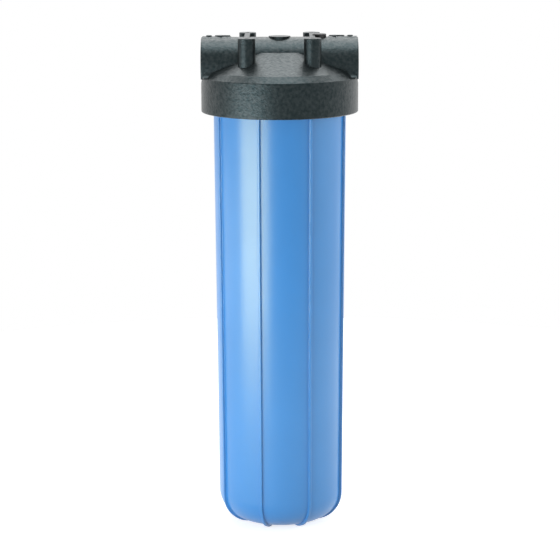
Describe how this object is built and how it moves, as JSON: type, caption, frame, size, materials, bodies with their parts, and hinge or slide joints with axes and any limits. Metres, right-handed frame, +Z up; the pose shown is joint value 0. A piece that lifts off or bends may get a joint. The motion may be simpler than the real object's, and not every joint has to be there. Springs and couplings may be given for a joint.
{
  "type": "cartridge water filter housing",
  "caption": "Tall water filter housing: a screw-on cap with side ports, bracket posts and a pressure-relief button over a ribbed sump that holds a pleated cartridge.",
  "frame": {"origin": "centre of the sump's feet, on the surface that it stands on", "axes": "+Z up along the housing's axis, +X along the ports towards the inlet, -Y to the front"},
  "size_m": [0.1848, 0.1848, 0.5902],
  "materials": {
    "sump_blue": "blue polypropylene, satin",
    "cap_black": "black polypropylene, fine matte grain",
    "button_black": "black acetal, smooth",
    "seal_rubber": "black nitrile, greased",
    "gasket_rubber": "black soft rubber",
    "spring_steel": "bright stainless wire and strip",
    "washer_plastic": "natural acetal",
    "medium_white": "off-white pleated paper and polyester",
    "end_cap_white": "white vinyl plastisol",
    "core_white": "white polypropylene"
  },
  "bodies": {
    "sump": {"sump": "sump_blue", "cartridge_core": "core_white", "cartridge_pleats": "medium_white", "cartridge_bottom_cap": "end_cap_white", "cartridge_top_cap": "end_cap_white", "cartridge_bottom_gasket": "gasket_rubber", "cartridge_top_gasket": "gasket_rubber"},
    "seal": {"sump_o_ring": "seal_rubber"},
    "cap": {"cap": "cap_black", "relief_spring": "spring_steel"},
    "button": {"relief_button": "button_black", "relief_o_ring": "seal_rubber", "relief_washer": "washer_plastic", "relief_retaining_ring": "spring_steel"}
  },
  "joints": [
    {"name": "cap_turn", "type": "hinge", "parent": "sump", "child": "seal", "pos_m": [0, 0, 0.5243], "axis": [0, 0, 1], "range_deg": [0, 1440]},
    {"name": "cap_rise", "type": "slide", "parent": "seal", "child": "cap", "axis": [0, 0, 1], "range_m": [0, 0.0281]},
    {"name": "button_press", "type": "slide", "parent": "cap", "child": "button", "axis": [0, 0, -1], "range_m": [0, 0.0025], "stiffness_N_per_m": 600, "springref_m": -0.003, "deforming": ["relief_spring"]}
  ],
  "couplings": [
    {"joint": "cap_rise", "follows": "cap_turn", "m_per_rad": 0.0011141}
  ]
}
